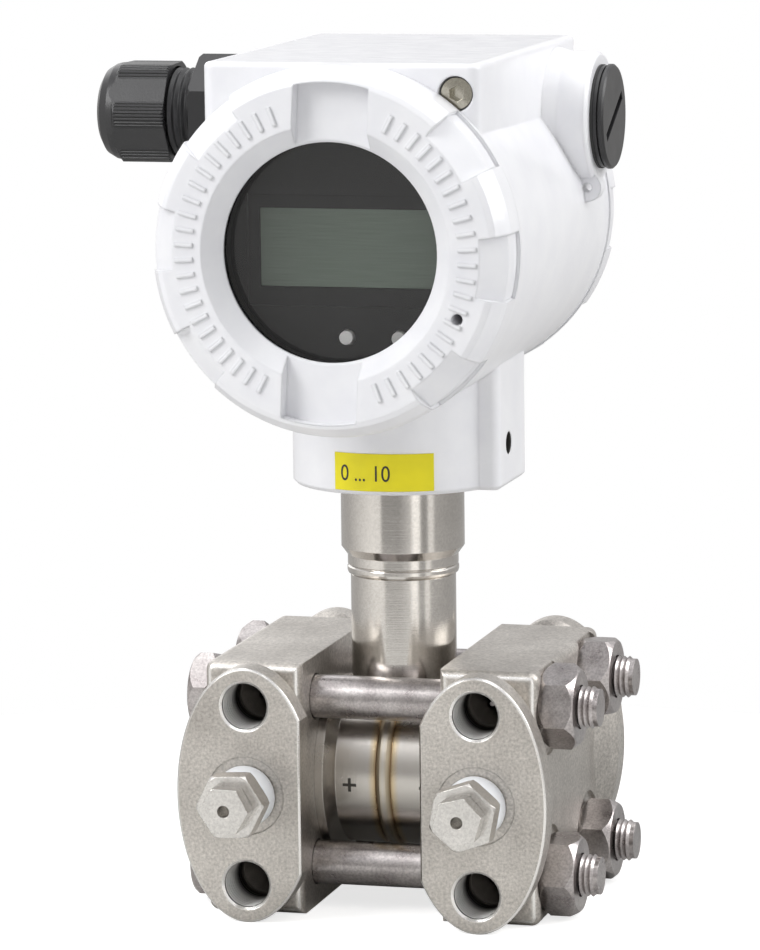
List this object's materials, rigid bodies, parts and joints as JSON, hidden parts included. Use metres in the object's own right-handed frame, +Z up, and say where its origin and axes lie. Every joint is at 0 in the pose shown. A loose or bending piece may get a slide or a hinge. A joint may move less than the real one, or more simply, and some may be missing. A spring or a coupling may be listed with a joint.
{
  "type": "differential pressure transmitter",
  "caption": "Pressure transmitter with a round windowed white housing on a steel neck, above two cast flanges bolted across a measuring capsule.",
  "frame": {"origin": "centre of the four bolt holes in the rear process faces, in the plane of those faces", "axes": "+X from the high side to the low side, +Y out of the rear process faces towards the manifold, +Z up along the neck"},
  "size_m": [0.129, 0.1176, 0.1971],
  "materials": {
    "cast_stainless": "bead-blasted cast stainless steel",
    "turned_stainless": "turned stainless steel with fine rings",
    "bolt_steel": "satin stainless fasteners",
    "weld_steel": "heat-tinted weld",
    "white_tape": "white sealing tape",
    "white_coat": "glossy white powder coat on cast aluminium",
    "black_plastic": "black moulded plastic",
    "gland_plastic": "black nylon",
    "black_rubber": "black rubber",
    "window_glass": "clear tempered glass",
    "display_grey": "grey-green liquid crystal glass",
    "button_grey": "light grey button",
    "board_green": "green circuit board",
    "label_yellow": "yellow printed label",
    "plate_grey": "fine-textured grey plate",
    "ring_black": "black retaining ring",
    "terminal_green": "green terminal block",
    "screw_zinc": "plated steel screws",
    "ribbon_grey": "grey flat cable",
    "gasket_grey": "dark gasket"
  },
  "bodies": {
    "sensor": {"flange_low": "cast_stainless", "flange_high": "cast_stainless", "clamp_bolts": "bolt_steel", "clamp_nuts": "bolt_steel", "capsule_body": "turned_stainless", "capsule_weld": "weld_steel", "diaphragm_high": "turned_stainless", "diaphragm_low": "turned_stainless", "flange_gasket_high": "gasket_grey", "flange_gasket_low": "gasket_grey", "sensor_module": "turned_stainless", "neck_tube": "turned_stainless", "neck_header": "turned_stainless", "neck_ring": "black_rubber", "vent_body_high": "turned_stainless", "vent_body_low": "turned_stainless", "thread_tape_high": "white_tape", "thread_tape_low": "white_tape"},
    "housing": {"housing": "white_coat", "collar_set_screw": "screw_zinc", "range_label": "label_yellow", "top_plate": "plate_grey", "cover_lock_screw": "screw_zinc", "display_fascia": "black_plastic", "display_panel": "display_grey", "display_board": "board_green", "electronics_module": "black_plastic", "board_spacers": "black_plastic", "ribbon_cable": "ribbon_grey", "terminal_block": "terminal_green", "terminal_screws": "screw_zinc", "earth_screw": "screw_zinc", "plug_washer": "black_rubber", "blanking_plug": "gland_plastic", "gland_washer": "black_rubber", "gland_body": "gland_plastic", "gland_seal": "black_rubber"},
    "front_cover": {"front_cover": "white_coat", "front_cover_ring": "black_rubber", "window_gasket": "gasket_grey", "window_glass": "window_glass", "window_retaining_ring": "ring_black"},
    "rear_cover": {"rear_cover": "white_coat", "rear_cover_ring": "black_rubber"},
    "vent_screw_high": {"vent_screw_high": "turned_stainless"},
    "vent_screw_low": {"vent_screw_low": "turned_stainless"},
    "gland_cap_nut": {"gland_cap_nut": "gland_plastic"},
    "button_left": {"button_left": "button_grey"},
    "button_right": {"button_right": "button_grey"}
  },
  "joints": [
    {"name": "housing_turn", "type": "hinge", "parent": "sensor", "child": "housing", "pos_m": [0, -0.04, 0.0774], "axis": [0, 0, 1], "range_deg": [-170, 170]},
    {"name": "front_cover_turn", "type": "hinge", "parent": "housing", "child": "front_cover", "pos_m": [0, -0.092, 0.1266], "axis": [0, -1, 0], "continuous": true},
    {"name": "rear_cover_turn", "type": "hinge", "parent": "housing", "child": "rear_cover", "pos_m": [0, 0.006, 0.1266], "axis": [0, 1, 0], "continuous": true},
    {"name": "vent_screw_high_turn", "type": "hinge", "parent": "sensor", "child": "vent_screw_high", "pos_m": [-0.027, -0.09, 0], "axis": [0, -1, 0], "range_deg": [0, 540]},
    {"name": "vent_screw_low_turn", "type": "hinge", "parent": "sensor", "child": "vent_screw_low", "pos_m": [0.027, -0.09, 0], "axis": [0, -1, 0], "range_deg": [0, 540]},
    {"name": "gland_cap_turn", "type": "hinge", "parent": "housing", "child": "gland_cap_nut", "pos_m": [-0.069, -0.016, 0.15], "axis": [-1, 0, 0], "continuous": true},
    {"name": "button_left_press", "type": "slide", "parent": "housing", "child": "button_left", "axis": [0, 1, 0], "range_m": [0, 0.001], "stiffness_N_per_m": 200},
    {"name": "button_right_press", "type": "slide", "parent": "housing", "child": "button_right", "axis": [0, 1, 0], "range_m": [0, 0.001], "stiffness_N_per_m": 200}
  ]
}
